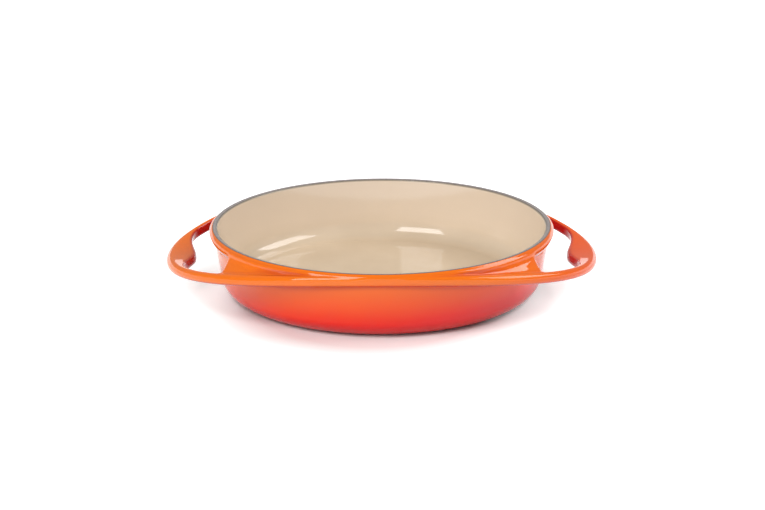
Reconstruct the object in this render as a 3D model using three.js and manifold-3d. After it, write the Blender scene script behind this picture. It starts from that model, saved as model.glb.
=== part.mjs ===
// Enamelled cast-iron tarte tatin dish: a shallow round dish whose rim runs out into two loop handles.
// One iron casting carries glass coats fired onto it: sand inside, orange outside and underneath, and a
// narrow matt band round the top of the rim. Millimetres, +Z up, handles along X, standing on z = 0.
import * as THREE from 'three';
import { mergeVertices } from 'three/addons/utils/BufferGeometryUtils.js';
import Module from 'manifold-3d';

// Dish
const rimRadius = 125; // inside of the rim
const rimHeight = 51; // top of the rim above the table
const wallThickness = 4; // wall with its coats
const floorThickness = 4.5; // floor with its coats
const wallLean = 9.8; // degrees by which the wall opens upwards
const baseRounding = 14.5; // outer corner between the wall and the underside
const floorRounding = 14; // inner corner between the wall and the floor
const coatThickness = 0.5; // one enamel coat

// Rim and collar
const bandWidth = 3.5; // matt band on top of the rim
const crestWidth = 1.2; // flat crest along the outer edge of the band
const bandFall = 0.7; // inner edge of the band below its crest
const lipFlat = 0.4; // flat top of the lip beside the band
const lipOverhang = 2.6; // corner of the collar, before rounding, beyond the band
const lipFall = 2.3; // that corner below the rim, at the foot of the lip's slope
const lipRounding = 2.5; // that corner
const collarHeight = 8; // collar from the rim down to its lower edge
const collarRounding = 2; // lower corner of the collar

// Handles
const handleReach = 33.1; // handle beyond the collar
const handleDrop = 20.8; // top of the handle's end below its root
const rootDrop = 1; // top of the handle's root below the rim
const rootInset = 0.7; // handle's root behind the collar's corner
const barWidth = 6.4;
const barDepth = 8;
const barRounding = 2.2; // inner edges and lower outer edge of the bar
const crownWidth = 0.4; // flat along the top of the bar, beside the wide rounding of its outer edge
const barTilt = 0.85; // inner edge of the bar below its outer edge
const padWidth = 22.4; // thumb pad from the handle's end towards the dish
const padLength = 112; // stretch over which the bar swells into the pad
const padTilt = 1.8; // inner edge of the pad below its outer edge
const webReach = 118; // half length, beside the bar, of the webs that join it to the collar
const webSlant = 22; // degrees by which the ends of a web turn back towards the collar
const webDip = 0.8; // web's faces behind the bar's

// Fineness of the curved faces
const roundSteps = 60;
const loopSteps = 88;
const webSteps = 10;
const cornerSteps = 4;

// Sizes that follow from those above
const lean = THREE.MathUtils.degToRad(wallLean);
const bandRadius = rimRadius + bandWidth;
const collarRadius = bandRadius + lipOverhang;
const loopLength = collarRadius + handleReach; // half axis of the handles' outline along X
const loopWidth = collarRadius - rootInset; // half axis along Y
const crownRounding = barWidth - barRounding - crownWidth; // upper outer edge of the bar
const quarterTurn = Math.PI / 2;
const cutterMargin = 5; // by which a cutting solid runs past what it cuts

const wasm = await Module();
wasm.setup();

// Radius of the inner face of the wall at a height
function cavityRadius(z) {
  return rimRadius - (rimHeight - z) * Math.tan(lean);
}

// Radius of the outer face of the wall at a height
function wallRadius(z) {
  return cavityRadius(z) + wallThickness / Math.cos(lean);
}

// Outline through corners [radius, height, rounding], with each rounded corner as an arc
function roundedOutline(corners) {
  const points = corners.map(([r, z]) => new THREE.Vector2(r, z));
  return corners.flatMap(([, , rounding], i) => {
    const corner = points[i];
    if (!rounding) return [corner];
    const before = points[i - 1].clone().sub(corner).normalize();
    const after = points[i + 1].clone().sub(corner).normalize();
    const half = before.angleTo(after) / 2;
    const middle = before.clone().add(after).normalize();
    const centre = corner.clone().addScaledVector(middle, rounding / Math.sin(half));
    const start = corner.clone().addScaledVector(before, rounding / Math.tan(half)).sub(centre);
    const turn = (Math.PI - 2 * half) * Math.sign(after.cross(before));
    const arc = [];
    for (let step = 0; step <= cornerSteps; step++) {
      const angle = (turn * step) / cornerSteps;
      arc.push(start.clone().rotateAround(new THREE.Vector2(), angle).add(centre));
    }
    return arc;
  });
}

// Outline moved sideways, to the left of its direction by a distance
function shiftedOutline(outline, distance) {
  const edges = outline.slice(1).map((point, i) => {
    const along = point.clone().sub(outline[i]).normalize();
    const aside = new THREE.Vector2(-along.y, along.x);
    return { along, start: outline[i].clone().addScaledVector(aside, distance), aside };
  });
  return outline.map((point, i) => {
    const edge = edges[Math.min(i, edges.length - 1)];
    if (i === 0 || i === edges.length) return point.clone().addScaledVector(edge.aside, distance);
    const last = edges[i - 1];
    const reach = edge.start.clone().sub(last.start).cross(edge.along) / last.along.cross(edge.along);
    return last.start.clone().addScaledVector(last.along, reach);
  });
}

// Closed solid from a geometry, with its faces turned outwards
function solidOf(geometry) {
  geometry.deleteAttribute('normal');
  geometry.deleteAttribute('uv');
  const merged = mergeVertices(geometry);
  const points = merged.getAttribute('position');
  const index = merged.getIndex().array;
  const triangles = [];
  let volume = 0;
  for (let i = 0; i < index.length; i += 3) {
    const [a, b, c] = index.slice(i, i + 3);
    if (a === b || b === c || c === a) continue;
    triangles.push([a, b, c]);
    const [p, q, r] = [a, b, c].map((k) => new THREE.Vector3().fromBufferAttribute(points, k));
    volume += p.dot(q.cross(r));
  }
  if (volume < 0) triangles.forEach((triangle) => triangle.reverse());
  const triVerts = new Uint32Array(triangles.flat());
  return new wasm.Manifold(new wasm.Mesh({ numProp: 3, vertProperties: points.array, triVerts }));
}

// Solid turned round the Z axis from an outline that starts and ends on it or closes on itself
function turned(outline) {
  return solidOf(new THREE.LatheGeometry(outline, roundSteps).rotateX(quarterTurn));
}

// Solid through a row of closed sections with equal numbers of points: a ring, or capped at both ends
function lofted(sections, isRing) {
  const count = sections[0].length;
  const index = [];
  const rows = isRing ? sections.length : sections.length - 1;
  for (let row = 0; row < rows; row++) {
    const next = (row + 1) % sections.length;
    for (let k = 0; k < count; k++) {
      const after = (k + 1) % count;
      const [a, b] = [row * count + k, row * count + after];
      const [c, d] = [next * count + k, next * count + after];
      index.push(a, b, c, b, d, c);
    }
  }
  if (!isRing) {
    const end = (sections.length - 1) * count;
    for (let k = 1; k < count - 1; k++) {
      index.push(0, k + 1, k);
      index.push(end, end + k, end + k + 1);
    }
  }
  const geometry = new THREE.BufferGeometry().setFromPoints(sections.flat());
  geometry.setIndex(index);
  return solidOf(geometry);
}

// Outside of the dish from the middle of the underside to the outer edge of the band
function outsideOutline(inset) {
  const collarFoot = rimHeight - collarHeight;
  const outline = roundedOutline([
    [0, 0],
    [wallRadius(0), 0, baseRounding],
    [wallRadius(collarFoot), collarFoot],
    [collarRadius - (collarHeight - lipFall) * Math.tan(lean), collarFoot, collarRounding],
    [collarRadius, rimHeight - lipFall, lipRounding],
    [bandRadius + lipFlat, rimHeight],
    [bandRadius, rimHeight],
  ]);
  return shiftedOutline(outline, inset);
}

// Inside of the dish from the middle of the floor to the rim
function insideOutline(growth) {
  const outline = roundedOutline([
    [0, floorThickness],
    [cavityRadius(floorThickness), floorThickness, floorRounding],
    [rimRadius, rimHeight],
  ]);
  return shiftedOutline(outline, -growth);
}

// Top of the handles where their outline has a given X
function loopTop(x) {
  return rimHeight - rootDrop - handleDrop * (x / loopLength) ** 2;
}

// Width of the handle where its outline has a given Y: the bar, swelling into the thumb pad
function loopBreadth(y) {
  const share = Math.min(Math.abs(y) / (padLength / 2), 1);
  return barWidth + ((padWidth - barWidth) * (1 + Math.cos(Math.PI * share))) / 2;
}

// Drop from the outer edge of the handle to its inner edge, for a given width of the handle
function loopTilt(breadth) {
  return THREE.MathUtils.mapLinear(breadth, barWidth, padWidth, barTilt, padTilt);
}

// Both handles: a bar of rounded, tilted section carried once round an ellipse that sinks into the collar
function handleLoop(inset) {
  const roundings = [crownRounding, barRounding, barRounding, barRounding].map((rounding) => rounding - inset);
  const sections = [];
  for (let step = 0; step < loopSteps; step++) {
    const angle = (2 * Math.PI * step) / loopSteps;
    const edge = new THREE.Vector2(loopLength * Math.cos(angle), loopWidth * Math.sin(angle));
    const outwards = new THREE.Vector2(edge.x / loopLength ** 2, edge.y / loopWidth ** 2).normalize();
    const breadth = loopBreadth(edge.y);
    const middle = edge.clone().addScaledVector(outwards, -breadth / 2);
    const across = breadth / 2 - inset;
    const up = barDepth / 2 - inset;
    const height = loopTop(edge.x) - barDepth / 2;
    const corners = roundings.flatMap((rounding, corner) => [0, 0.5, 1].map((share) => {
      const turn = quarterTurn * (corner + share);
      const halfway = quarterTurn * (corner + 0.5);
      const middleOut = (across - rounding) * Math.sign(Math.cos(halfway));
      const middleRise = (up - rounding) * Math.sign(Math.sin(halfway));
      return [middleOut + rounding * Math.cos(turn), middleRise + rounding * Math.sin(turn)];
    }));
    sections.push(corners.map(([out, rise]) => {
      const place = middle.clone().addScaledVector(outwards, out);
      const sink = loopTilt(breadth) * (0.5 - out / breadth);
      return new THREE.Vector3(place.x, place.y, height + rise - sink);
    }));
  }
  return lofted(sections, true);
}

// Webs between the bar and the collar, with rounded, slanting ends: one slab from the middle of the dish to
// the bar at the front and one to the bar at the back, of which the dish's hollow leaves only the webs
function handleWebs(inset) {
  const slant = THREE.MathUtils.degToRad(webSlant);
  const rounding = barRounding - inset;
  const stations = [];
  for (let step = -webSteps; step <= webSteps; step++) {
    stations.push({ share: step / webSteps, past: 0, thin: 0 });
  }
  for (let step = 1; step <= cornerSteps; step++) {
    const angle = (quarterTurn * step) / cornerSteps;
    const past = (rounding * Math.sin(angle)) / Math.cos(slant);
    const thin = rounding * (1 - Math.cos(angle));
    stations.push({ share: 1, past, thin });
    stations.unshift({ share: -1, past: -past, thin });
  }
  const half = barDepth / 2 - webDip - inset;
  const barLength = loopLength - barWidth / 2;
  const barPlace = (x) => (loopWidth - barWidth / 2) * Math.sqrt(1 - (x / barLength) ** 2);
  const straight = webReach - barRounding / Math.cos(slant);
  const middle = straight - barPlace(webReach) * Math.tan(slant);
  const slabs = [-1, 1].map((side) => lofted(stations.map(({ share, past, thin }) => {
    const [inner, outer] = [share * middle + past, share * straight + past];
    const edges = [[inner, 0], [outer, side * barPlace(outer)]].map(([x, y]) => {
      const height = loopTop(x) - barTilt - barDepth / 2;
      return [height - half + thin, height + half - thin].map((z) => new THREE.Vector3(x, y, z));
    });
    return [edges[0][0], edges[1][0], edges[1][1], edges[0][1]];
  }), false));
  return slabs[0].add(slabs[1]);
}

// Top of the rim from the outer edge of the band to its inner edge, lowered by an inset
function rimTop(inset) {
  return [
    new THREE.Vector2(bandRadius, rimHeight - inset),
    new THREE.Vector2(bandRadius - crestWidth, rimHeight - inset),
    new THREE.Vector2(rimRadius, rimHeight - bandFall - inset),
  ];
}

// Dish without its hollow, with its handles, taken in by an inset all over; top closes the outline
function filledDish(inset, top) {
  const axis = new THREE.Vector2(0, top.at(-1).y);
  const dish = turned([...outsideOutline(inset), ...top, axis]);
  return dish.add(handleLoop(inset)).add(handleWebs(inset));
}

// Iron casting, one coat inside every face of the finished dish
function ironCasting() {
  const iron = filledDish(coatThickness, rimTop(coatThickness));
  const hollow = insideOutline(coatThickness);
  const mouth = rimHeight + cutterMargin;
  hollow.push(new THREE.Vector2(hollow.at(-1).x, mouth), new THREE.Vector2(0, mouth));
  return iron.subtract(turned(hollow));
}

// Radius of the flat underside
function baseRadius() {
  return outsideOutline(0)[1].x;
}

// Orange coat on the wall, the collar, the webs and the handles
function outerEnamel() {
  const finished = filledDish(0, [new THREE.Vector2(bandRadius, rimHeight)]);
  const neck = new THREE.Vector2(bandRadius, rimHeight + cutterMargin);
  const base = turned([
    new THREE.Vector2(0, -cutterMargin),
    new THREE.Vector2(baseRadius(), -cutterMargin),
    new THREE.Vector2(baseRadius(), cutterMargin),
    new THREE.Vector2(0, cutterMargin),
  ]);
  return finished.subtract(filledDish(coatThickness, [neck])).subtract(base);
}

// Sand-coloured coat on the wall and the floor, up to the underside of the band
function innerEnamel() {
  const seat = rimHeight - bandFall - coatThickness;
  const iron = insideOutline(coatThickness);
  const glass = insideOutline(0);
  iron.at(-1).set(cavityRadius(seat) + coatThickness / Math.cos(lean), seat);
  glass.at(-1).set(cavityRadius(seat), seat);
  return turned([...iron, ...glass.reverse()]);
}

// Matt band round the top of the rim
function rimBand() {
  const outline = [...rimTop(0), ...rimTop(coatThickness).reverse()];
  return turned([...outline, outline[0]]);
}

// Coat of the flat underside
function baseEnamel() {
  const corners = [[0, 0], [baseRadius(), 0], [baseRadius(), coatThickness], [0, coatThickness]];
  return turned(corners.map(([r, z]) => new THREE.Vector2(r, z)));
}

// Named mesh of a solid
function meshOf(name, solid, finish) {
  const { vertProperties, triVerts } = solid.getMesh();
  const geometry = new THREE.BufferGeometry();
  geometry.setAttribute('position', new THREE.BufferAttribute(vertProperties, 3));
  geometry.setIndex(new THREE.BufferAttribute(triVerts, 1));
  geometry.computeVertexNormals();
  const mesh = new THREE.Mesh(geometry, new THREE.MeshStandardMaterial(finish));
  mesh.name = name;
  return mesh;
}

const orangeGlass = { color: '#ee6a26', roughness: 0.08, metalness: 0 };
const group = new THREE.Group();
group.name = 'tarte_tatin_dish';
group.add(
  meshOf('iron_casting', ironCasting(), { color: '#3b3a3a', roughness: 0.75, metalness: 0.8 }),
  meshOf('outer_enamel', outerEnamel(), orangeGlass),
  meshOf('inner_enamel', innerEnamel(), { color: '#dcc6a8', roughness: 0.2, metalness: 0 }),
  meshOf('rim_band', rimBand(), { color: '#8d857a', roughness: 0.6, metalness: 0 }),
  meshOf('base_enamel', baseEnamel(), orangeGlass),
);

export default group;
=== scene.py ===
"""Finish of an enamelled cast-iron tarte tatin dish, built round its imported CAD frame.

The formulas work in millimetres and the meshes hold metres, +Z up, with the handles along X.
"""

import bpy
import numpy as np
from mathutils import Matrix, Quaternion, Vector


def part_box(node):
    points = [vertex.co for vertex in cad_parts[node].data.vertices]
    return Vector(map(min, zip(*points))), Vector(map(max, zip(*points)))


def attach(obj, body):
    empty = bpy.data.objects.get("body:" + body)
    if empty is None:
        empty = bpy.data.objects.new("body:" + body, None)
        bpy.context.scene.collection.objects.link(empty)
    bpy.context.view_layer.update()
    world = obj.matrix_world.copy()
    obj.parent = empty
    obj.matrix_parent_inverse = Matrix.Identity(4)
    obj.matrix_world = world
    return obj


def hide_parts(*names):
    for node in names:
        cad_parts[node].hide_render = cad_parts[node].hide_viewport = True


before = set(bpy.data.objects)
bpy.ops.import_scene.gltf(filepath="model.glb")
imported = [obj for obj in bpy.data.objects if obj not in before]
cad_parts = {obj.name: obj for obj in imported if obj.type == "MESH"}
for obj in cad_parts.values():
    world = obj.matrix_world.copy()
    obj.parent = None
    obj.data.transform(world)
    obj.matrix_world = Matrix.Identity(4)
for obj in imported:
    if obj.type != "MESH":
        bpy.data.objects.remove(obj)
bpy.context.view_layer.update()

MM = 0.001


def reach(node, axis):
    """Highest coordinate of a CAD node along an axis, in millimetres."""
    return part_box(node)[1][axis] / MM


# Sizes taken from the frame
loop_length = reach("outer_enamel", 0)  # half axis of the handles' outline along X
collar_radius = reach("outer_enamel", 1)
rim_height = reach("outer_enamel", 2)
band_radius = reach("rim_band", 0)
base_radius = reach("base_enamel", 0)
coat = reach("base_enamel", 2)
floor_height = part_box("inner_enamel")[0][2] / MM + coat

# Dish, as the casting has it
band_width = 3.5
wall_thickness = 4.0
wall_lean = np.radians(9.8)
base_rounding = 14.5
floor_rounding = 14.0
crest_inset = 0.9  # crest of the rim inside the outer edge of the band
edge_fall = 0.25  # outer edge of the band below that crest
lip_slope = np.radians(43.0)  # by which the lip falls from the band to the collar's face
lip_rounding = 0.8  # of the blunt edge between them
band_fall = 0.9  # inner edge of the rim below its crest
band_inset = 0.3  # inner edge of the band outside that edge, beside the rounded end of the inner coat
edge_tilt = np.radians(25.0)  # of the inner coat where it meets the band
collar_height = 8.0
collar_rounding = 2.6
collar_fillet = 2.0

# Handles, as the casting has them
root_inset = 0.05  # handle's root behind the collar's widest point
root_drop = 1.0
handle_drop = 20.8
bar_width = 6.4
bar_depth = 8.0
bar_tilt = 0.85  # inner edge of the bar below its outer edge
crown_rounding = 4.8  # upper outer edge of the handles
root_crown = 3.4  # the same edge beside the collar
crown_reach = (40.0, 105.0)  # distance along X over which one turns into the other
foot_rounding = 2.6  # lower outer edge
inner_rounding = 1.6  # upper inner edge of the bar
under_rounding = 2.2  # lower inner edge
pad_width = 22.4
pad_length = 112.0
pad_tilt = 1.8
pad_rounding = 3.2  # upper inner edge of the pads
web_dip = 0.8  # underside of the webs above that of the bar
web_sink = 0.7  # groove in the top of the webs beside the bar
groove_width = 3.0
groove_start = 7.0  # width of the web at which the groove has its full depth
web_foot = np.array([109.0, 62.5])  # end of a web beside the collar, from above
web_tip = np.array([118.5, 86.0])  # the same end beside the bar
web_corner = 9.0  # rounding between the end of a web and the bar
web_rounding = 1.6  # upper edge of that end
web_join = 47.0  # height at which the slope of the webs meets the collar
web_fillet = 4.0  # fillet between the collar and the webs beside the finger gaps
fillet_share = 0.6  # of the handle's drop below its root, which limits that fillet towards the front

hollow_reach = 6.0  # distance off the outside at which hollows are told from flat places
hollow_most = 2.0  # shortfall there in the deepest hollow that still counts

coat_share = 0.9  # of the coat's thickness, so that a coat ends just off the iron

loop_width = collar_radius - root_inset  # half axis of the handles' outline along Y
rim_radius = band_radius - band_width
sine, cosine, tangent = np.sin(wall_lean), np.cos(wall_lean), np.tan(wall_lean)
wall_foot = rim_radius - rim_height * tangent + wall_thickness / cosine  # outer face of the wall at z = 0
crest_radius = band_radius - crest_inset
edge_height = rim_height - edge_fall
fall_sine, fall_cosine = np.sin(lip_slope), np.cos(lip_slope)

# Edge between the lip's slope and the collar's face before rounding: the rounding takes the widest point in
# to the collar's radius
lip_turn = np.cos(lip_slope - wall_lean)
lip_cut = lip_rounding * (fall_cosine + sine - np.hypot(fall_cosine, sine)) / lip_turn
lip_radius = collar_radius + lip_cut
lip_height = edge_height - (lip_radius - band_radius) * np.tan(lip_slope)

# Fineness of the calculation
slope_step = 0.01  # of the differences that give a slope
least_square = 0.25  # of a slope that points are moved along
same_place = 1e-4
on_edge = 1e-3
loop_rounds = 5  # of the search for the nearest point of the handles' outline


def smooth_step(low, high, value):
    """0 below low, 1 above high, and the cubic 3t^2 - 2t^3 between them."""
    t = np.clip((value - low) / (high - low), 0.0, 1.0)
    return t * t * (3.0 - 2.0 * t)


def smooth_least(a, b, width):
    """The lesser of two distances, with a fillet where they differ by less than width."""
    share = np.maximum(width - np.abs(a - b), 0.0) / np.maximum(width, 1e-6)
    return np.minimum(a, b) - share * share * width / 4.0


def rounded_corner(across, along, rounding):
    """Distance to a corner of two faces, given the distance to each, with an arc of that rounding."""
    a = across + rounding
    b = along + rounding
    outside = np.hypot(np.maximum(a, 0.0), np.maximum(b, 0.0))
    return outside + np.minimum(np.maximum(a, b), 0.0) - rounding


def cavity_radius(height):
    """Radius of the inner face of the wall: a cone that opens upwards by the wall's lean."""
    return rim_radius - (rim_height - height) * tangent


def loop_top(x):
    """Top of the handles where their outline has a given X: a parabola that sinks from the collar."""
    return rim_height - root_drop - handle_drop * (x / loop_length) ** 2


def dish_distance(radius, height):
    """Distance to the outside of the dish: a cone that turns into the flat underside by an arc, with a
    collar round its top whose face leans as the wall does under a sloping lip, joined to the wall by a
    small fillet."""
    wall = (radius - wall_foot) * cosine - height * sine
    across, up = radius - base_radius, height - base_rounding
    on_arc = (across * sine + up * cosine < 0.0) & (across > 0.0)
    body = np.where(on_arc, np.hypot(across, up) - base_rounding, np.maximum(wall, -height))
    face = (radius - lip_radius) * cosine - (height - lip_height) * sine
    fall = (radius - band_radius) * fall_sine + (height - edge_height) * fall_cosine
    foot = rim_height - collar_height - height
    collar = np.maximum(
        rounded_corner(face, fall, lip_rounding), rounded_corner(face, foot, collar_rounding),
    )
    return smooth_least(np.maximum(body, height - lip_height), collar, collar_fillet)


def nearest_on_loop(x, y):
    """Point of the handles' elliptic outline nearest to each (x, y), and the distance inwards from it.
    Each round replaces the ellipse by its circle of curvature at the last point found."""
    a, b = loop_length, loop_width
    px, py = np.abs(x), np.abs(y)
    tx = np.full_like(px, np.sqrt(0.5))
    ty = tx.copy()
    for _ in range(loop_rounds):
        centre_x = (a * a - b * b) * tx ** 3 / a
        centre_y = (b * b - a * a) * ty ** 3 / b
        curve = np.hypot(a * tx - centre_x, b * ty - centre_y)
        away = np.maximum(np.hypot(px - centre_x, py - centre_y), 1e-9)
        tx = np.clip(((px - centre_x) * curve / away + centre_x) / a, 0.0, 1.0)
        ty = np.clip(((py - centre_y) * curve / away + centre_y) / b, 0.0, 1.0)
        length = np.hypot(tx, ty)
        tx, ty = tx / length, ty / length
    outside = (px / a) ** 2 + (py / b) ** 2 > 1.0
    gap = np.hypot(px - a * tx, py - b * ty)
    return a * tx, b * ty, np.where(outside, -gap, gap)


def bar_breadth(loop_y):
    """Width of the handle where its outline has a given Y: the bar, with a raised cosine for the pad."""
    share = np.clip(np.abs(loop_y) / (pad_length / 2.0), 0.0, 1.0)
    return bar_width + (pad_width - bar_width) * (1.0 + np.cos(np.pi * share)) / 2.0


def handle_distance(x, y, z):
    """Distance to the handles and their webs. From above, the bar is a band inside the elliptic outline
    and the web fills up to a slanting end, with a rounded corner between them. That plan is thickened
    between an upper and a lower face, which tilt inwards on the bar, and each of the four edges has its own
    rounding. The web's upper face rises to the collar by the square of the share of the way from the bar."""
    loop_x, loop_y, inwards = nearest_on_loop(x, y)
    breadth = bar_breadth(loop_y)
    end_way = (web_tip - web_foot) / np.linalg.norm(web_tip - web_foot)
    end = (np.abs(x) - web_foot[0]) * end_way[1] - (np.abs(y) - web_foot[1]) * end_way[0]
    from_bar = np.maximum(inwards - breadth, 0.0)
    from_collar = np.maximum(np.hypot(x, y) - collar_radius, 0.0)
    on_web = smooth_step(0.0, bar_width, from_bar)
    swell = (breadth - bar_width) / (pad_width - bar_width)
    level = loop_top(loop_x) * (1.0 - on_web) + loop_top(x) * on_web
    level = level - (bar_tilt + (pad_tilt - bar_tilt) * swell) * np.clip(inwards / breadth, 0.0, 1.0)
    share = from_bar / np.maximum(from_bar + from_collar, 1e-6)
    rise = np.maximum(web_join - level, 0.0) * share ** 2
    groove = smooth_step(0.0, groove_start, from_bar + from_collar)
    groove = groove * smooth_step(0.0, groove_width, from_bar)
    over = z - level - rise + web_sink * groove
    under = level - bar_depth + web_dip * on_web - z
    inner = smooth_least(inwards - breadth, end, web_corner)
    edge = inner_rounding + (pad_rounding - inner_rounding) * swell
    edge = edge + (web_rounding - edge) * on_web
    crown = root_crown + (crown_rounding - root_crown) * smooth_step(*crown_reach, loop_x)
    top = np.maximum(rounded_corner(-inwards, over, crown), rounded_corner(inner, over, edge))
    foot = np.maximum(
        rounded_corner(-inwards, under, foot_rounding), rounded_corner(inner, under, under_rounding),
    )
    return np.maximum(top, foot)


def outside_distance(points):
    """Distance to the finished outside: dish and handles, joined by a fillet that grows as the handle
    sinks."""
    x, y, z = points.T
    fillet = np.minimum(fillet_share * (loop_top(0.0) - loop_top(x)), web_fillet)
    return smooth_least(dish_distance(np.hypot(x, y), z), handle_distance(x, y, z), fillet)


def slope(distance, points):
    """Gradient of a distance by central differences."""
    moves = np.eye(points.shape[1]) * slope_step
    change = [distance(points + move) - distance(points - move) for move in moves]
    return np.stack(change, axis=1) / (2.0 * slope_step)


def hollowness(points):
    """How hollow the outside is at points on it: what a place straight off it lacks of its distance to the
    surface, from 0 where nothing is lacking to 1 where the most is."""
    way = slope(outside_distance, points)
    way /= np.linalg.norm(way, axis=1)[:, None]
    lack = hollow_reach - outside_distance(points + hollow_reach * way)
    return np.clip(lack / hollow_most, 0.0, 1.0)


# Rows of the outer enamel's grid
lip_rows, web_rows, bar_rows, wall_rows, gap_rows = 12, 12, 24, 36, 6
gap_columns, web_columns = 52, 60
gap_angle = np.radians(44.0)  # round the loop from the handle's end to the end of the web
gap_foot_angle = np.radians(29.8)  # the same round the dish
front_reach = (12.0, 60.0)  # distance along X over which the rows part from the dish to go round the bar
outline_points, outline_rounds = 1200, 30
settle_rounds, relax_rounds, last_rounds = 8, 90, 4
relax_share = 0.5
longest_move = 1.0


def outline_of_dish():
    """Dense outline (radius, height) of the dish's outside from the band down to the underside, and its
    length so far: points spread over the unrounded corners, each moved to where the distance is zero."""
    foot = rim_height - collar_height
    corner = np.array([
        (band_radius, edge_height),
        (lip_radius, lip_height),
        (lip_radius - (lip_height - foot) * tangent, foot),
        (wall_foot + foot * tangent, foot),
        (wall_foot, 0.0),
        (base_radius, 0.0),
    ])
    along = np.concatenate([[0.0], np.cumsum(np.linalg.norm(np.diff(corner, axis=0), axis=1))])
    spread = np.linspace(0.0, along[-1], outline_points)
    line = np.stack([np.interp(spread, along, corner[:, k]) for k in (0, 1)], axis=1)

    def distance(places):
        return dish_distance(*places.T)

    for _ in range(outline_rounds):
        way = slope(distance, line)
        move = distance(line)[:, None] * way / np.maximum((way ** 2).sum(1), least_square)[:, None]
        line[1:-1] -= move[1:-1]
    length = np.concatenate([[0.0], np.cumsum(np.linalg.norm(np.diff(line, axis=0), axis=1))])
    return line, length


def quarter_grid():
    """First places of one quarter of the outer enamel, front right, as patches of columns and rows.

    Columns run round the loop from the handle's end to the front. Strips of rows follow the section in
    that column: lip and collar, top of the web, round the bar, underside of the web, and the wall. Where
    there is a finger gap the web's strips give way to a strip that lines the gap."""
    line, length = outline_of_dish()

    def on_dish(along, foot):
        radius = np.interp(along, length, line[:, 0])
        height = np.interp(along, length, line[:, 1])
        height = np.broadcast_to(height, np.broadcast_shapes(height.shape, foot.shape))
        return np.stack([radius * np.cos(foot), -radius * np.sin(foot), height], axis=-1)

    def down_to(height):
        return np.interp(-height, -line[:, 1] + 1e-6 * length, length)

    gap = np.linspace(0.0, gap_angle, gap_columns + 1)
    web = np.linspace(gap_angle, np.pi / 2.0, web_columns + 1)
    around = np.concatenate([gap, web[1:]])
    narrowing = np.tan(gap_angle) / np.tan(gap_foot_angle)
    foot = np.arctan2(np.sin(around), narrowing * np.cos(around))
    edge_x, edge_y = loop_length * np.cos(around), -loop_width * np.sin(around)
    out = np.stack([edge_x / loop_length ** 2, edge_y / loop_width ** 2], axis=1)
    out /= np.linalg.norm(out, axis=1)[:, None]
    breadth = bar_breadth(edge_y)
    top = loop_top(edge_x)

    web_x = np.minimum(rim_radius * np.cos(foot), rim_radius * np.cos(gap_foot_angle))
    upper = down_to(loop_top(web_x) - web_dip)
    lower = down_to(loop_top(web_x) - bar_depth + web_dip)

    def strip(rows):
        return np.linspace(0.0, 1.0, rows + 1)

    lip = on_dish(strip(lip_rows)[None, :] * upper[:, None], foot[:, None])
    below = lower[:, None] + strip(wall_rows)[None, :] * (length[-1] - lower)[:, None]
    wall = on_dish(below, foot[:, None])
    between = upper[:, None] + strip(gap_rows)[None, :] * (lower - upper)[:, None]
    gap_dish = on_dish(between[: gap_columns + 1], foot[: gap_columns + 1, None])

    inner = breadth - under_rounding / 2.0
    run = strip(bar_rows)[None, :] * (2.0 * inner + bar_depth)[:, None]
    side = run - inner[:, None]
    inwards = np.where(side < 0.0, -side, np.maximum(side - bar_depth, 0.0))
    rise = bar_depth / 2.0 - np.clip(side, 0.0, bar_depth)

    def on_bar(inwards, rise, select=slice(None)):
        edge = np.stack([edge_x, edge_y], axis=1)[select, None, :]
        place = edge - inwards[:, :, None] * out[select, None, :]
        height = (top - bar_depth / 2.0)[select, None] + rise
        return np.concatenate([place, height[:, :, None]], axis=2)

    bar = on_bar(inwards, rise)
    drop = strip(gap_rows)[None, :] * 2.0 - 1.0
    gap_inner = breadth[: gap_columns + 1, None] - under_rounding / 2.0 * drop ** 4
    gap_rise = np.broadcast_to(-drop * bar_depth / 2.0, gap_inner.shape)
    gap_bar = on_bar(gap_inner, gap_rise, slice(0, gap_columns + 1))

    share = strip(web_rows)[None, :, None]
    web_top = lip[gap_columns:, -1:] * (1.0 - share) + bar[gap_columns:, :1] * share
    web_under = bar[gap_columns:, -1:] * (1.0 - share) + wall[gap_columns:, :1] * share

    # Beside the front the bar lies in the collar, so the rows spread evenly over the dish's outline
    rows = lip_rows + web_rows + bar_rows + web_rows + wall_rows
    even = on_dish(strip(rows)[None, :] * length[-1], foot[gap_columns:, None])
    clear = smooth_step(*front_reach, edge_x[gap_columns:])[:, None, None]

    def settled(places, first):
        rows_here = even[:, first : first + places.shape[1]]
        return rows_here * (1.0 - clear) + places * clear

    start = 0
    lip[gap_columns:] = settled(lip[gap_columns:], start)
    start += lip_rows
    web_top = settled(web_top, start)
    start += web_rows
    bar[gap_columns:] = settled(bar[gap_columns:], start)
    start += bar_rows
    web_under = settled(web_under, start)
    start += web_rows
    wall[gap_columns:] = settled(wall[gap_columns:], start)

    down = strip(gap_rows)[None, :, None]
    end = web_top[0][:, None] * (1.0 - down) + web_under[0][::-1][:, None] * down
    end[0] = gap_dish[-1]
    end[-1] = gap_bar[-1]
    return [lip, wall, web_top, bar, web_under, gap_dish, end, gap_bar[::-1]]


def quads_of(columns, rows, first):
    """Corner numbers of the quads of a grid whose points start at a given number."""
    number = first + np.arange(columns * rows).reshape(columns, rows)
    corners = [number[:-1, :-1], number[1:, :-1], number[1:, 1:], number[:-1, 1:]]
    return np.stack(corners, axis=-1).reshape(-1, 4)


def joined_patches(patches):
    """Points and quads of grids joined where their edges have the same places."""
    points, quads, first = [], [], 0
    for patch in patches:
        columns, rows = patch.shape[:2]
        points.append(patch.reshape(-1, 3))
        quads.append(quads_of(columns, rows, first))
        first += columns * rows
    points, quads = np.concatenate(points), np.concatenate(quads)
    return merged(points, quads)


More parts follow.
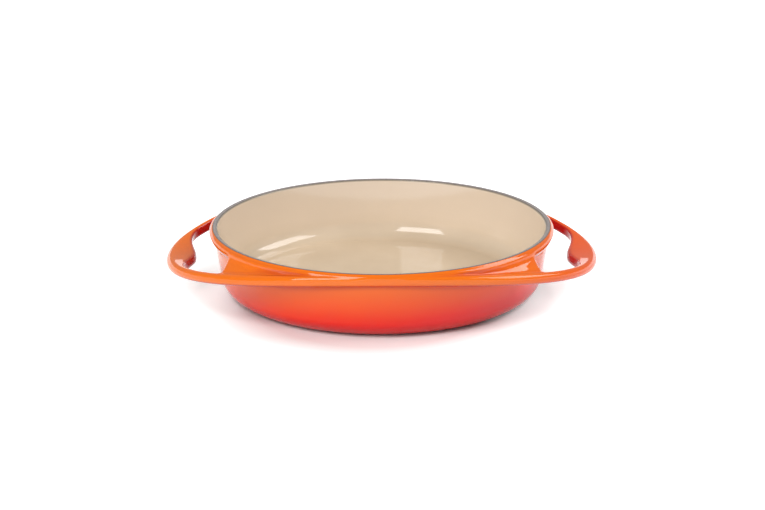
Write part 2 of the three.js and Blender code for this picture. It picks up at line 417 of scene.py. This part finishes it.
def merged(points, quads):
    """The same mesh with points at one place joined, to a ten-thousandth of a millimetre."""
    _, keep, number = np.unique(np.round(points, 4), axis=0, return_index=True, return_inverse=True)
    return points[keep], number.reshape(-1)[quads]


def settled_on_surface(points, quads, held):
    """Points moved onto the outside, then evened out: each round moves a point half-way to the mean of
    its neighbours along the surface and back onto it. Held points stay, and points on a plane of
    symmetry stay in it."""
    edges = np.concatenate([quads[:, [0, 1]], quads[:, [1, 2]], quads[:, [2, 3]], quads[:, [3, 0]]])
    edges = np.unique(np.sort(edges, axis=1), axis=0)
    start = np.concatenate([edges[:, 0], edges[:, 1]])
    stop = np.concatenate([edges[:, 1], edges[:, 0]])
    count = np.bincount(start, minlength=len(points))
    free = np.ones_like(points)
    free[np.abs(points[:, 0]) < same_place, 0] = 0.0
    free[np.abs(points[:, 1]) < same_place, 1] = 0.0
    free[held] = 0.0

    def onto_surface(points):
        gap = outside_distance(points)
        way = slope(outside_distance, points)
        move = -gap[:, None] * way / np.maximum((way ** 2).sum(1), least_square)[:, None]
        size = np.linalg.norm(move, axis=1)
        move *= np.minimum(1.0, longest_move / np.maximum(size, 1e-9))[:, None]
        return points + move * free, way

    for _ in range(settle_rounds):
        points, way = onto_surface(points)
    for _ in range(relax_rounds):
        total = np.stack([np.bincount(start, points[stop, k], len(points)) for k in range(3)], axis=1)
        move = total / count[:, None] - points
        normal = way / np.maximum(np.linalg.norm(way, axis=1), 1e-9)[:, None]
        move -= normal * (move * normal).sum(1)[:, None]
        points = points + relax_share * move * free
        points, way = onto_surface(points)
    for _ in range(last_rounds):
        points, way = onto_surface(points)
    return points


def outer_surface():
    """Whole outside: the settled quarter, turned over both planes of symmetry and joined."""
    points, quads = joined_patches(quarter_grid())
    radius = np.hypot(points[:, 0], points[:, 1])
    at_band = (np.abs(radius - band_radius) < on_edge) & (points[:, 2] > rim_height - lip_rounding)
    at_base = points[:, 2] < on_edge
    points = settled_on_surface(points, quads, at_band | at_base)
    all_points, all_quads = [], []
    for turn_x, turn_y in ((1.0, 1.0), (1.0, -1.0), (-1.0, 1.0), (-1.0, -1.0)):
        turned = quads if turn_x * turn_y > 0.0 else quads[:, ::-1]
        all_quads.append(turned + len(points) * len(all_points))
        all_points.append(points * (turn_x, turn_y, 1.0))
    points, quads = np.concatenate(all_points), np.concatenate(all_quads)
    points[np.abs(points) < same_place] = 0.0
    return merged(points, quads)


# Fineness of the turned pieces
turned_segments = 240
floor_steps, rounding_steps, side_steps, edge_steps = 39, 24, 29, 10
lip_steps, crest_steps, base_steps = 12, 16, 23
edge_clearance = 0.1  # last point of the wall's straight part below the rounded edge


def mesh_object(name, points, faces):
    """Smooth-shaded object at the origin from points in millimetres and lists of corner numbers."""
    mesh = bpy.data.meshes.new(name)
    mesh.from_pydata((points * MM).tolist(), [], faces)
    mesh.polygons.foreach_set("use_smooth", np.ones(len(mesh.polygons), bool))
    mesh.update()
    piece = bpy.data.objects.new(name, mesh)
    bpy.context.scene.collection.objects.link(piece)
    return piece


def turned_mesh(name, outline, segments):
    """Outline of (radius, height) carried round the Z axis; points on the axis are joined into a pole.
    The outline has the solid on its right, so that the faces point outwards."""
    turn = np.linspace(0.0, 2.0 * np.pi, segments + 1)
    radius, height = np.asarray(outline, float).T
    grid = np.stack([
        np.cos(turn)[:, None] * radius,
        np.sin(turn)[:, None] * radius,
        np.broadcast_to(height, (segments + 1, len(height))),
    ], axis=-1)
    points, quads = merged(grid.reshape(-1, 3), quads_of(*grid.shape[:2], 0))
    at_start = quads[:, 0] == quads[:, 1]
    at_end = quads[:, 2] == quads[:, 3]
    faces = quads[~at_start & ~at_end].tolist()
    faces += quads[at_start & ~at_end][:, [0, 2, 3]].tolist()
    faces += quads[at_end & ~at_start][:, [0, 1, 2]].tolist()
    return mesh_object(name, points, faces)


def arc(centre, radius, start, stop, steps):
    """Points of an arc, with its angles in degrees from the outward direction."""
    angle = np.radians(np.linspace(start, stop, steps + 1))
    return np.stack([centre[0] + radius * np.cos(angle), centre[1] + radius * np.sin(angle)], axis=1)


def make_outer_enamel():
    """Orange coat of the wall, collar, webs and handles, as thick as the coat and grown inwards."""
    points, quads = outer_surface()
    piece = mesh_object("outer_enamel_coat", points, quads.tolist())
    hollow = piece.data.attributes.new("hollow", "FLOAT", "POINT")
    hollow.data.foreach_set("value", hollowness(points).astype(np.float32))
    wall = piece.modifiers.new("coat", "SOLIDIFY")
    wall.thickness = coat * coat_share * MM
    wall.offset = -1.0
    return piece


def band_height(radius):
    """Top of the rim inside its crest, which falls by the square of the distance."""
    return rim_height - band_fall * ((crest_radius - radius) / (crest_radius - rim_radius)) ** 2


def inside_outline(growth):
    """Inside of the dish from the middle of the floor to the end of the wall's straight part beside the
    rim, moved out into the metal by growth."""
    floor = floor_height - growth
    centre_height = floor_height + floor_rounding
    centre = (cavity_radius(centre_height) - floor_rounding / cosine, centre_height)
    rounding = arc(centre, floor_rounding + growth, -90.0, -np.degrees(wall_lean), rounding_steps)
    radius = np.linspace(0.0, rounding[0, 0], floor_steps + 1)[:-1]
    flat = np.stack([radius, np.full(floor_steps, floor)], axis=1)
    top = rim_height - 2.0 * band_fall
    last = np.array([cavity_radius(top) + growth / cosine, top])
    steps = np.linspace(0.0, 1.0, side_steps + 1)[1:, None]
    side = rounding[-1] * (1.0 - steps) + last * steps
    return np.concatenate([flat, rounding, side])


def rounded_edge():
    """End of the inner coat: an arc that leaves the wall along its lean and meets the band with a tilt. Its
    radius follows from the distance of the band's edge from the wall."""
    meet = np.array([rim_radius + band_inset, band_height(rim_radius + band_inset)])
    gap = meet[0] - cavity_radius(meet[1])
    radius = gap / (1.0 / cosine - np.sin(edge_tilt) - np.cos(edge_tilt) * tangent)
    centre = meet + radius * np.array([np.sin(edge_tilt), -np.cos(edge_tilt)])
    return arc(centre, radius, 180.0 - np.degrees(wall_lean), 90.0 + np.degrees(edge_tilt), edge_steps)


def make_inner_enamel():
    """Sand-coloured coat of the floor and the wall inside, with a rounded edge, as one turned shell."""
    edge = rounded_edge()
    glass = inside_outline(0.0)
    glass = np.concatenate([glass[glass[:, 1] < edge[0, 1] - edge_clearance], edge])
    iron = inside_outline(coat * coat_share)
    return turned_mesh("inner_enamel_coat", np.concatenate([iron, glass[::-1]]), turned_segments)


def make_rim_band():
    """Narrow matt band over the crest of the rim. It falls by the square of the distance on both
    sides, to the lip and to the rounded edge of the inner coat."""
    share = np.linspace(1.0, 0.0, lip_steps + 1)
    outer = np.stack([
        crest_radius + (band_radius - crest_radius) * share,
        rim_height - edge_fall * share ** 2,
    ], axis=1)
    radius = np.linspace(crest_radius, rim_radius + band_inset, crest_steps + 1)[1:]
    top = np.concatenate([outer, np.stack([radius, band_height(radius)], axis=1)])
    depth = np.array([[0.0, coat * coat_share]])
    outline = np.concatenate([top[-1:] - depth, top[:1] - depth, top, top[-1:] - depth])
    return turned_mesh("rim_band_ring", outline, turned_segments)


def make_base_enamel():
    """Coat of the flat underside, a thin disc."""
    radius = np.linspace(0.0, base_radius, base_steps + 1)
    under = np.stack([radius, np.zeros_like(radius)], axis=1)
    over = np.stack([radius, np.full_like(radius, coat * coat_share)], axis=1)
    return turned_mesh("base_enamel_coat", np.concatenate([under, over[::-1]]), turned_segments)


# Spray of the outside, as shares of the rim's height: red at the foot, orange at the rim
spray_stops = [
    (0.15, "#df1c1a"),
    (0.22, "#e42010"),
    (0.31, "#e83308"),
    (0.51, "#ec4f04"),
    (0.76, "#ee6602"),
    (0.92, "#ec7003"),
]
spray_drift = (-0.04, 0.04)  # by which it wanders
painted_light_sides = (0.15, -0.17)  # painted light: added on the left and on the right of the rim, more orange where the front-left lamp falls and redder away from it
spray_handles = 0.22  # added on the handles
shade_turned_inwards = (-0.1, -0.8)  # outward part of the normal where the painted shade in deep red starts and where it is full
shade_turned_down = (-0.3, -0.9)  # upward part of the normal, likewise, for the painted shade on faces turned down
hollow_shade_share = 0.45  # share of the painted shade in deep red in the deepest hollows
orange_gloss = (0.03, 0.06)

# Colour of the inside from near the floor to near the rim, with painted shade, darker on the floor, and
# painted light, lighter up the wall
sand_heights = (2.0, 48.0)
sand_light_stops = [
    (0.0, "#c8b398"),
    (0.17, "#dac6ac"),
    (0.33, "#e6d3bb"),
    (0.48, "#e7d4bd"),
    (1.0, "#dfccb6"),
]
sand_clouds = (-4.0, 4.0)  # by which its height wanders
sand_edge = (0.8, 0.2)  # below the edge of the rim, where the coat starts to thin and where it is thinnest
sand_gloss = (0.06, 0.09)

# Ground coat and iron
band_edges = (0.8, 1.5)  # from the middle of the band, where it starts to darken and where it is darkest
band_stops = [(0.3, "#837b78"), (0.7, "#a39b98")]
iron_stops = [(0.3, "#2e2d2d"), (0.7, "#4a4847")]

# Widths of the patterns' features. Speckle and grain are coarser than the real grit, so that they show.
drift_width = 60.0
cloud_width = 45.0
orange_ripple_width = 9.0
sand_ripple_width = 7.0
speckle_width = 1.2
grain_width = 0.8

# Strength and depth of the bumps
ripple_bump = (0.03, 0.4)
speckle_bump = (0.2, 0.1)
grain_bump = (0.4, 0.2)


def linear(colour):
    """Linear RGBA of an sRGB hex colour."""
    code = np.array([int(colour[k : k + 2], 16) for k in (1, 3, 5)]) / 255.0
    light = np.where(code <= 0.04045, code / 12.92, ((code + 0.055) / 1.055) ** 2.4)
    return (*light.tolist(), 1.0)


def add_node(tree, kind, inputs=None, **settings):
    """New node with its settings; an input is a value, or a (node, output) pair to link from."""
    node = tree.nodes.new(kind)
    for name, value in settings.items():
        setattr(node, name, value)
    for socket, value in (inputs or {}).items():
        if isinstance(value, tuple) and isinstance(value[0], bpy.types.Node):
            tree.links.new(value[0].outputs[value[1]], node.inputs[socket])
        else:
            node.inputs[socket].default_value = value
    return node


def new_material(name):
    """Empty node material and its tree."""
    material = bpy.data.materials.new(name)
    material.use_nodes = True
    material.node_tree.nodes.clear()
    return material, material.node_tree


def set_stops(ramp, stops):
    """Gives a colour ramp its (place, hex colour) stops."""
    band = ramp.color_ramp
    band.elements[0].position, band.elements[1].position = stops[0][0], stops[-1][0]
    band.elements[0].color, band.elements[1].color = linear(stops[0][1]), linear(stops[-1][1])
    for place, colour in stops[1:-1]:
        band.elements.new(place).color = linear(colour)


def per_mm(width):
    """Scale of a pattern on Object coordinates whose features are that many millimetres wide."""
    return 1.0 / (width * MM)


def orange_enamel():
    """Vitreous enamel, sprayed and fired: a glass skin with a faint ripple. Two sprayed coats shade from
    orange at the rim to red at the foot and are more orange on the handles. Painted light makes it more
    orange on the left and redder on the right, and painted shade turns it deep red on faces turned down or
    inwards and in hollows."""
    material, tree = new_material("orange_vitreous_enamel")
    place = add_node(tree, "ShaderNodeTexCoord")
    xyz = add_node(tree, "ShaderNodeSeparateXYZ", {0: (place, "Object")})
    flat = add_node(tree, "ShaderNodeCombineXYZ", {"X": (xyz, "X"), "Y": (xyz, "Y")})
    radius = add_node(tree, "ShaderNodeVectorMath", {0: (flat, 0)}, operation="LENGTH")
    drift = add_node(tree, "ShaderNodeTexNoise", {
        "Vector": (place, "Object"), "Scale": per_mm(drift_width), "Detail": 2.0,
    })
    level = add_node(tree, "ShaderNodeMapRange", {"Value": (xyz, "Z"), "From Max": rim_height * MM})
    uneven = add_node(tree, "ShaderNodeMapRange", {
        "Value": (drift, "Fac"), "To Min": spray_drift[0], "To Max": spray_drift[1],
    })
    # Painted light: more orange on the left of the rim, where the front-left lamp falls, and redder on the
    # right.
    aside = add_node(tree, "ShaderNodeMapRange", {
        "Value": (xyz, "X"), "From Min": -rim_radius * MM, "From Max": rim_radius * MM,
        "To Min": painted_light_sides[0], "To Max": painted_light_sides[1],
    })
    on_handle = add_node(tree, "ShaderNodeMapRange", {
        "Value": (radius, "Value"),
        "From Min": collar_radius * MM, "From Max": (collar_radius + bar_width) * MM,
        "To Max": spray_handles,
    })
    for part in (uneven, aside, on_handle):
        level = add_node(tree, "ShaderNodeMath", {0: (level, 0), 1: (part, 0)}, operation="ADD")
    spray_and_light = add_node(tree, "ShaderNodeValToRGB", {"Fac": (level, 0)})
    set_stops(spray_and_light, spray_stops)
    faces = add_node(tree, "ShaderNodeNewGeometry")
    outward = add_node(tree, "ShaderNodeVectorMath", {0: (flat, 0)}, operation="NORMALIZE")
    facing = add_node(
        tree, "ShaderNodeVectorMath", {0: (outward, 0), 1: (faces, "Normal")}, operation="DOT_PRODUCT",
    )
    # Painted shade: deep red on faces turned inwards, towards the dish, and on faces turned down.
    painted_shade = add_node(tree, "ShaderNodeMapRange", {
        "Value": (facing, "Value"), "From Min": shade_turned_inwards[0], "From Max": shade_turned_inwards[1],
    })
    tilt = add_node(tree, "ShaderNodeSeparateXYZ", {0: (faces, "Normal")})
    shade_downwards = add_node(tree, "ShaderNodeMapRange", {
        "Value": (tilt, "Z"), "From Min": shade_turned_down[0], "From Max": shade_turned_down[1],
    })
    # Painted shade: deep red in the hollows and creases, by how hollow the outside is there.
    hollow = add_node(tree, "ShaderNodeAttribute", attribute_name="hollow")
    hollow_shade = add_node(tree, "ShaderNodeMath", {0: (hollow, "Fac"), 1: hollow_shade_share}, operation="MULTIPLY")
    for part in (shade_downwards, hollow_shade):
        painted_shade = add_node(tree, "ShaderNodeMath", {0: (painted_shade, 0), 1: (part, 0)}, operation="MAXIMUM")
    # The deep red #b81712 is the painted shade.
    colour = add_node(tree, "ShaderNodeMix", {
        "Factor": (painted_shade, 0), "A": (spray_and_light, "Color"), "B": linear("#b81712"),
    }, data_type="RGBA")
    ripple = add_node(tree, "ShaderNodeTexNoise", {
        "Vector": (place, "Object"), "Scale": per_mm(orange_ripple_width), "Detail": 1.0,
    })
    bump = add_node(tree, "ShaderNodeBump", {
        "Height": (ripple, "Fac"), "Strength": ripple_bump[0], "Distance": ripple_bump[1] * MM,
    })
    gloss = add_node(tree, "ShaderNodeMapRange", {
        "Value": (drift, "Fac"), "To Min": orange_gloss[0], "To Max": orange_gloss[1],
    })
    glass = add_node(tree, "ShaderNodeBsdfPrincipled", {
        "Base Color": (colour, "Result"), "Roughness": (gloss, 0), "IOR": 1.48, "Normal": (bump, 0),
    })
    add_node(tree, "ShaderNodeOutputMaterial", {"Surface": (glass, 0)})
    return material


def sand_enamel():
    """Pale vitreous enamel, sprayed and fired: a glass skin a little less glossy than the outside, with
    faint clouds where the spray lay thicker. It is darker on the floor and lighter up the wall, as painted
    shade and painted light. It runs out thin at the rim, where the ground coat darkens it."""
    material, tree = new_material("sand_vitreous_enamel")
    place = add_node(tree, "ShaderNodeTexCoord")
    xyz = add_node(tree, "ShaderNodeSeparateXYZ", {0: (place, "Object")})
    clouds = add_node(tree, "ShaderNodeTexNoise", {
        "Vector": (place, "Object"), "Scale": per_mm(cloud_width), "Detail": 3.0,
    })
    uneven = add_node(tree, "ShaderNodeMapRange", {
        "Value": (clouds, "Fac"), "To Min": sand_clouds[0] * MM, "To Max": sand_clouds[1] * MM,
    })
    level = add_node(tree, "ShaderNodeMath", {0: (xyz, "Z"), 1: (uneven, 0)}, operation="ADD")
    height = add_node(tree, "ShaderNodeMapRange", {
        "Value": (level, 0), "From Min": sand_heights[0] * MM, "From Max": sand_heights[1] * MM,
    })
    # Painted shade and light: the ramp is darker on the floor and lighter up the wall.
    spray_and_light = add_node(tree, "ShaderNodeValToRGB", {"Fac": (height, 0)})
    set_stops(spray_and_light, sand_light_stops)
    edge = rim_height - band_fall
    thin = add_node(tree, "ShaderNodeMapRange", {
        "Value": (xyz, "Z"), "From Min": (edge - sand_edge[0]) * MM, "From Max": (edge - sand_edge[1]) * MM,
    })
    colour = add_node(tree, "ShaderNodeMix", {
        "Factor": (thin, 0), "A": (spray_and_light, "Color"), "B": linear("#a09382"),
    }, data_type="RGBA")
    ripple = add_node(tree, "ShaderNodeTexNoise", {
        "Vector": (place, "Object"), "Scale": per_mm(sand_ripple_width), "Detail": 1.0,
    })
    bump = add_node(tree, "ShaderNodeBump", {
        "Height": (ripple, "Fac"), "Strength": ripple_bump[0], "Distance": ripple_bump[1] * MM,
    })
    gloss = add_node(tree, "ShaderNodeMapRange", {
        "Value": (clouds, "Fac"), "To Min": sand_gloss[0], "To Max": sand_gloss[1],
    })
    glass = add_node(tree, "ShaderNodeBsdfPrincipled", {
        "Base Color": (colour, "Result"), "Roughness": (gloss, 0), "IOR": 1.56, "Normal": (bump, 0),
    })
    add_node(tree, "ShaderNodeOutputMaterial", {"Surface": (glass, 0)})
    return material


def ground_coat():
    """Ground coat of enamel left bare on the rim: thin, matt and speckled grey, darker at both
    edges, where the coloured coats run out over it."""
    material, tree = new_material("matt_ground_coat")
    place = add_node(tree, "ShaderNodeTexCoord")
    speckle = add_node(tree, "ShaderNodeTexNoise", {
        "Vector": (place, "Object"), "Scale": per_mm(speckle_width), "Detail": 3.0,
    })
    tone = add_node(tree, "ShaderNodeValToRGB", {"Fac": (speckle, "Fac")})
    set_stops(tone, band_stops)
    xyz = add_node(tree, "ShaderNodeSeparateXYZ", {0: (place, "Object")})
    flat = add_node(tree, "ShaderNodeCombineXYZ", {"X": (xyz, "X"), "Y": (xyz, "Y")})
    radius = add_node(tree, "ShaderNodeVectorMath", {0: (flat, 0)}, operation="LENGTH")
    middle = (rim_radius + band_inset + band_radius) / 2.0
    aside = add_node(tree, "ShaderNodeMath", {0: (radius, "Value"), 1: middle * MM}, operation="SUBTRACT")
    aside = add_node(tree, "ShaderNodeMath", {0: (aside, 0)}, operation="ABSOLUTE")
    edges = add_node(tree, "ShaderNodeMapRange", {
        "Value": (aside, 0), "From Min": band_edges[0] * MM, "From Max": band_edges[1] * MM,
    })
    colour = add_node(tree, "ShaderNodeMix", {
        "Factor": (edges, 0), "A": (tone, "Color"), "B": linear("#564d42"),
    }, data_type="RGBA")
    bump = add_node(tree, "ShaderNodeBump", {
        "Height": (speckle, "Fac"), "Strength": speckle_bump[0], "Distance": speckle_bump[1] * MM,
    })
    matt = add_node(tree, "ShaderNodeBsdfPrincipled", {
        "Base Color": (colour, "Result"), "Roughness": 0.45, "IOR": 1.5, "Normal": (bump, 0),
    })
    add_node(tree, "ShaderNodeOutputMaterial", {"Surface": (matt, 0)})
    return material


def cast_iron():
    """Grey cast iron from a sand mould: dark, rough and grainy."""
    material, tree = new_material("sand_cast_iron")
    place = add_node(tree, "ShaderNodeTexCoord")
    grain = add_node(tree, "ShaderNodeTexNoise", {
        "Vector": (place, "Object"), "Scale": per_mm(grain_width), "Detail": 4.0,
    })
    tone = add_node(tree, "ShaderNodeValToRGB", {"Fac": (grain, "Fac")})
    set_stops(tone, iron_stops)
    bump = add_node(tree, "ShaderNodeBump", {
        "Height": (grain, "Fac"), "Strength": grain_bump[0], "Distance": grain_bump[1] * MM,
    })
    iron = add_node(tree, "ShaderNodeBsdfPrincipled", {
        "Base Color": (tone, "Color"), "Metallic": 0.9, "Roughness": 0.7, "Normal": (bump, 0),
    })
    add_node(tree, "ShaderNodeOutputMaterial", {"Surface": (iron, 0)})
    return material


# Stage
room_light = 0.36
softbox_distance = 5000.0
floor_gap = 0.3  # floor below the dish
floor_radius = 3275.0
floor_rings, floor_segments = 8, 96
cove_rounding = 1250.0
cove_turn = 68.0  # degrees
cove_steps = 12
shade_axes = (99.0, 137.0)  # of the shade left on the floor
shade_aside = 6.0  # middle of that shade left of the dish's
floor_lift = [(1.0, 1.4, 0.65), (1.9, 3.0, -0.4), (4.0, 12.0, 0.5)]  # from a share, to a share, change
floor_red = (1.0, 2.2, 0.68)  # from a share, to a share, red at the first

# Lamps: name, azimuth, rise and roll in degrees, width and height, radiance, whether reflections show it
lamps = [
    ("front_left", -37.0, 47.0, 15.0, (2500.0, 2800.0), 6.4, True),
    ("low_left", -50.0, 17.0, 0.0, (3000.0, 1200.0), 2.4, False),
    ("right", 99.0, 43.0, -11.0, (3600.0, 2100.0), 5.0, True),
]

# Camera, at the photograph's view
image_width = 765.0  # pixels
focal_pixels = 2056.2
sensor_width = 36.0
camera_aim = (0.69, 0.0, 25.1)
camera_distance = 1574.4
camera_rise = np.radians(17.40)
camera_roll = np.radians(-0.215)
camera_clip = (0.05, 50.0)  # metres


def seen_directly(tree):
    """1 for what the camera sees straight on, in a reflection or through glass, and 0 for other light."""
    rays = add_node(tree, "ShaderNodeLightPath")
    seen = (rays, "Is Camera Ray")
    for kind in ("Is Glossy Ray", "Is Transmission Ray"):
        most = add_node(tree, "ShaderNodeMath", {0: seen, 1: (rays, kind)}, operation="MAXIMUM")
        seen = (most, 0)
    return seen


def light_room():
    """Dim even light from the room round the stage."""
    world = bpy.data.worlds.new("room")
    world.use_nodes = True
    tree = world.node_tree
    tree.nodes.clear()
    room = add_node(tree, "ShaderNodeBackground", {"Color": linear("#ffffff"), "Strength": room_light})
    add_node(tree, "ShaderNodeOutputWorld", {"Surface": (room, 0)})
    bpy.context.scene.world = world


def pale_floor():
    """Matt pale floor. Where it is seen, light of its own makes it white beside the dish and far off. That
    light depends on the distance from the middle as a share of the shade's half axes, by which it grows or
    shrinks from one share to another. Beside the dish it lacks red, which the floor gets from the dish."""
    material, tree = new_material("pale_floor")
    place = add_node(tree, "ShaderNodeTexCoord")
    shares = add_node(tree, "ShaderNodeMapping", {
        "Vector": (place, "Object"),
        "Location": (shade_aside / shade_axes[0], 0.0, 0.0),
        "Scale": (1.0 / (shade_axes[0] * MM), 1.0 / (shade_axes[1] * MM), 0.0),
    })
    away = add_node(tree, "ShaderNodeVectorMath", {0: (shares, 0)}, operation="LENGTH")
    own, *others = [
        add_node(tree, "ShaderNodeMapRange", {
            "Value": (away, "Value"), "From Min": near, "From Max": far, "To Max": change,
        })
        for near, far, change in floor_lift
    ]
    for part in others:
        own = add_node(tree, "ShaderNodeMath", {0: (own, 0), 1: (part, 0)}, operation="ADD")
    own = add_node(tree, "ShaderNodeMath", {0: seen_directly(tree), 1: (own, 0)}, operation="MULTIPLY")
    red = add_node(tree, "ShaderNodeMapRange", {
        "Value": (away, "Value"), "From Min": floor_red[0], "From Max": floor_red[1], "To Min": floor_red[2],
    })
    hue = add_node(tree, "ShaderNodeCombineColor", {"Red": (red, 0), "Green": 1.0, "Blue": 1.0})
    glow = add_node(tree, "ShaderNodeEmission", {"Color": (hue, 0), "Strength": (own, 0)})
    matt = add_node(tree, "ShaderNodeBsdfDiffuse", {"Color": linear("#f2f2f2")})
    both = add_node(tree, "ShaderNodeAddShader", {0: (matt, 0), 1: (glow, 0)})
    add_node(tree, "ShaderNodeOutputMaterial", {"Surface": (both, 0)})
    return material


def make_floor():
    """Floor that turns up into a low backdrop all round."""
    turn_up = arc((floor_radius, cove_rounding), cove_rounding, -90.0, -90.0 + cove_turn, cove_steps)
    radius = np.linspace(0.0, floor_radius, floor_rings + 1)[:-1]
    flat = np.stack([radius, np.zeros(floor_rings)], axis=1)
    outline = np.concatenate([flat, turn_up]) - [0.0, floor_gap]
    piece = turned_mesh("floor", outline, floor_segments)
    piece.data.materials.append(pale_floor())


def aim(thing, way, roll):
    """Adds a lamp or camera to the scene, turned to look back along a way and rolled about it."""
    thing.rotation_mode = "QUATERNION"
    thing.rotation_quaternion = (-way).to_track_quat("-Z", "Y") @ Quaternion((0.0, 0.0, 1.0), roll)
    bpy.context.scene.collection.objects.link(thing)


def add_softbox(name, azimuth, rise, roll, size, radiance, mirrored):
    """Rectangular lamp that faces the dish from an azimuth, counted from the front to the right, and an
    elevation, rolled about its own axis. Its power is the radiance times pi times its area."""
    lamp = bpy.data.lights.new(name, "AREA")
    lamp.shape = "RECTANGLE"
    lamp.size, lamp.size_y = size[0] * MM, size[1] * MM
    lamp.energy = radiance * np.pi * lamp.size * lamp.size_y
    side, up = np.radians(azimuth), np.radians(rise)
    way = Vector((np.cos(up) * np.sin(side), -np.cos(up) * np.cos(side), np.sin(up)))
    box = bpy.data.objects.new(name, lamp)
    box.location = way * softbox_distance * MM
    box.visible_glossy = mirrored
    aim(box, way, np.radians(roll))


def add_camera():
    """Camera on a circle round the dish, with a slight roll."""
    data = bpy.data.cameras.new("camera")
    data.sensor_width = sensor_width
    data.lens = focal_pixels * sensor_width / image_width
    data.clip_start, data.clip_end = camera_clip
    camera = bpy.data.objects.new("camera", data)
    back = Vector((0.0, -np.cos(camera_rise), np.sin(camera_rise)))
    camera.location = (Vector(camera_aim) + back * camera_distance) * MM
    aim(camera, back, camera_roll)
    bpy.context.scene.camera = camera


# The dish
orange = orange_enamel()
coats = [
    (make_outer_enamel(), "outer_enamel", orange, "orange_enamel"),
    (make_inner_enamel(), "inner_enamel", sand_enamel(), "sand_enamel"),
    (make_rim_band(), "rim_band", ground_coat(), "ground_coat"),
    (make_base_enamel(), "base_enamel", orange, "orange_enamel"),
]
for piece, node, material, slot in coats:
    piece.data.materials.append(material)
    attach(piece, "root")
    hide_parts(node)
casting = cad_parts["iron_casting"]
casting.data.materials.clear()
casting.data.materials.append(cast_iron())

# The stage
bpy.context.scene.view_settings.view_transform = "Standard"
light_room()
make_floor()
for lamp in lamps:
    add_softbox(*lamp)
add_camera()
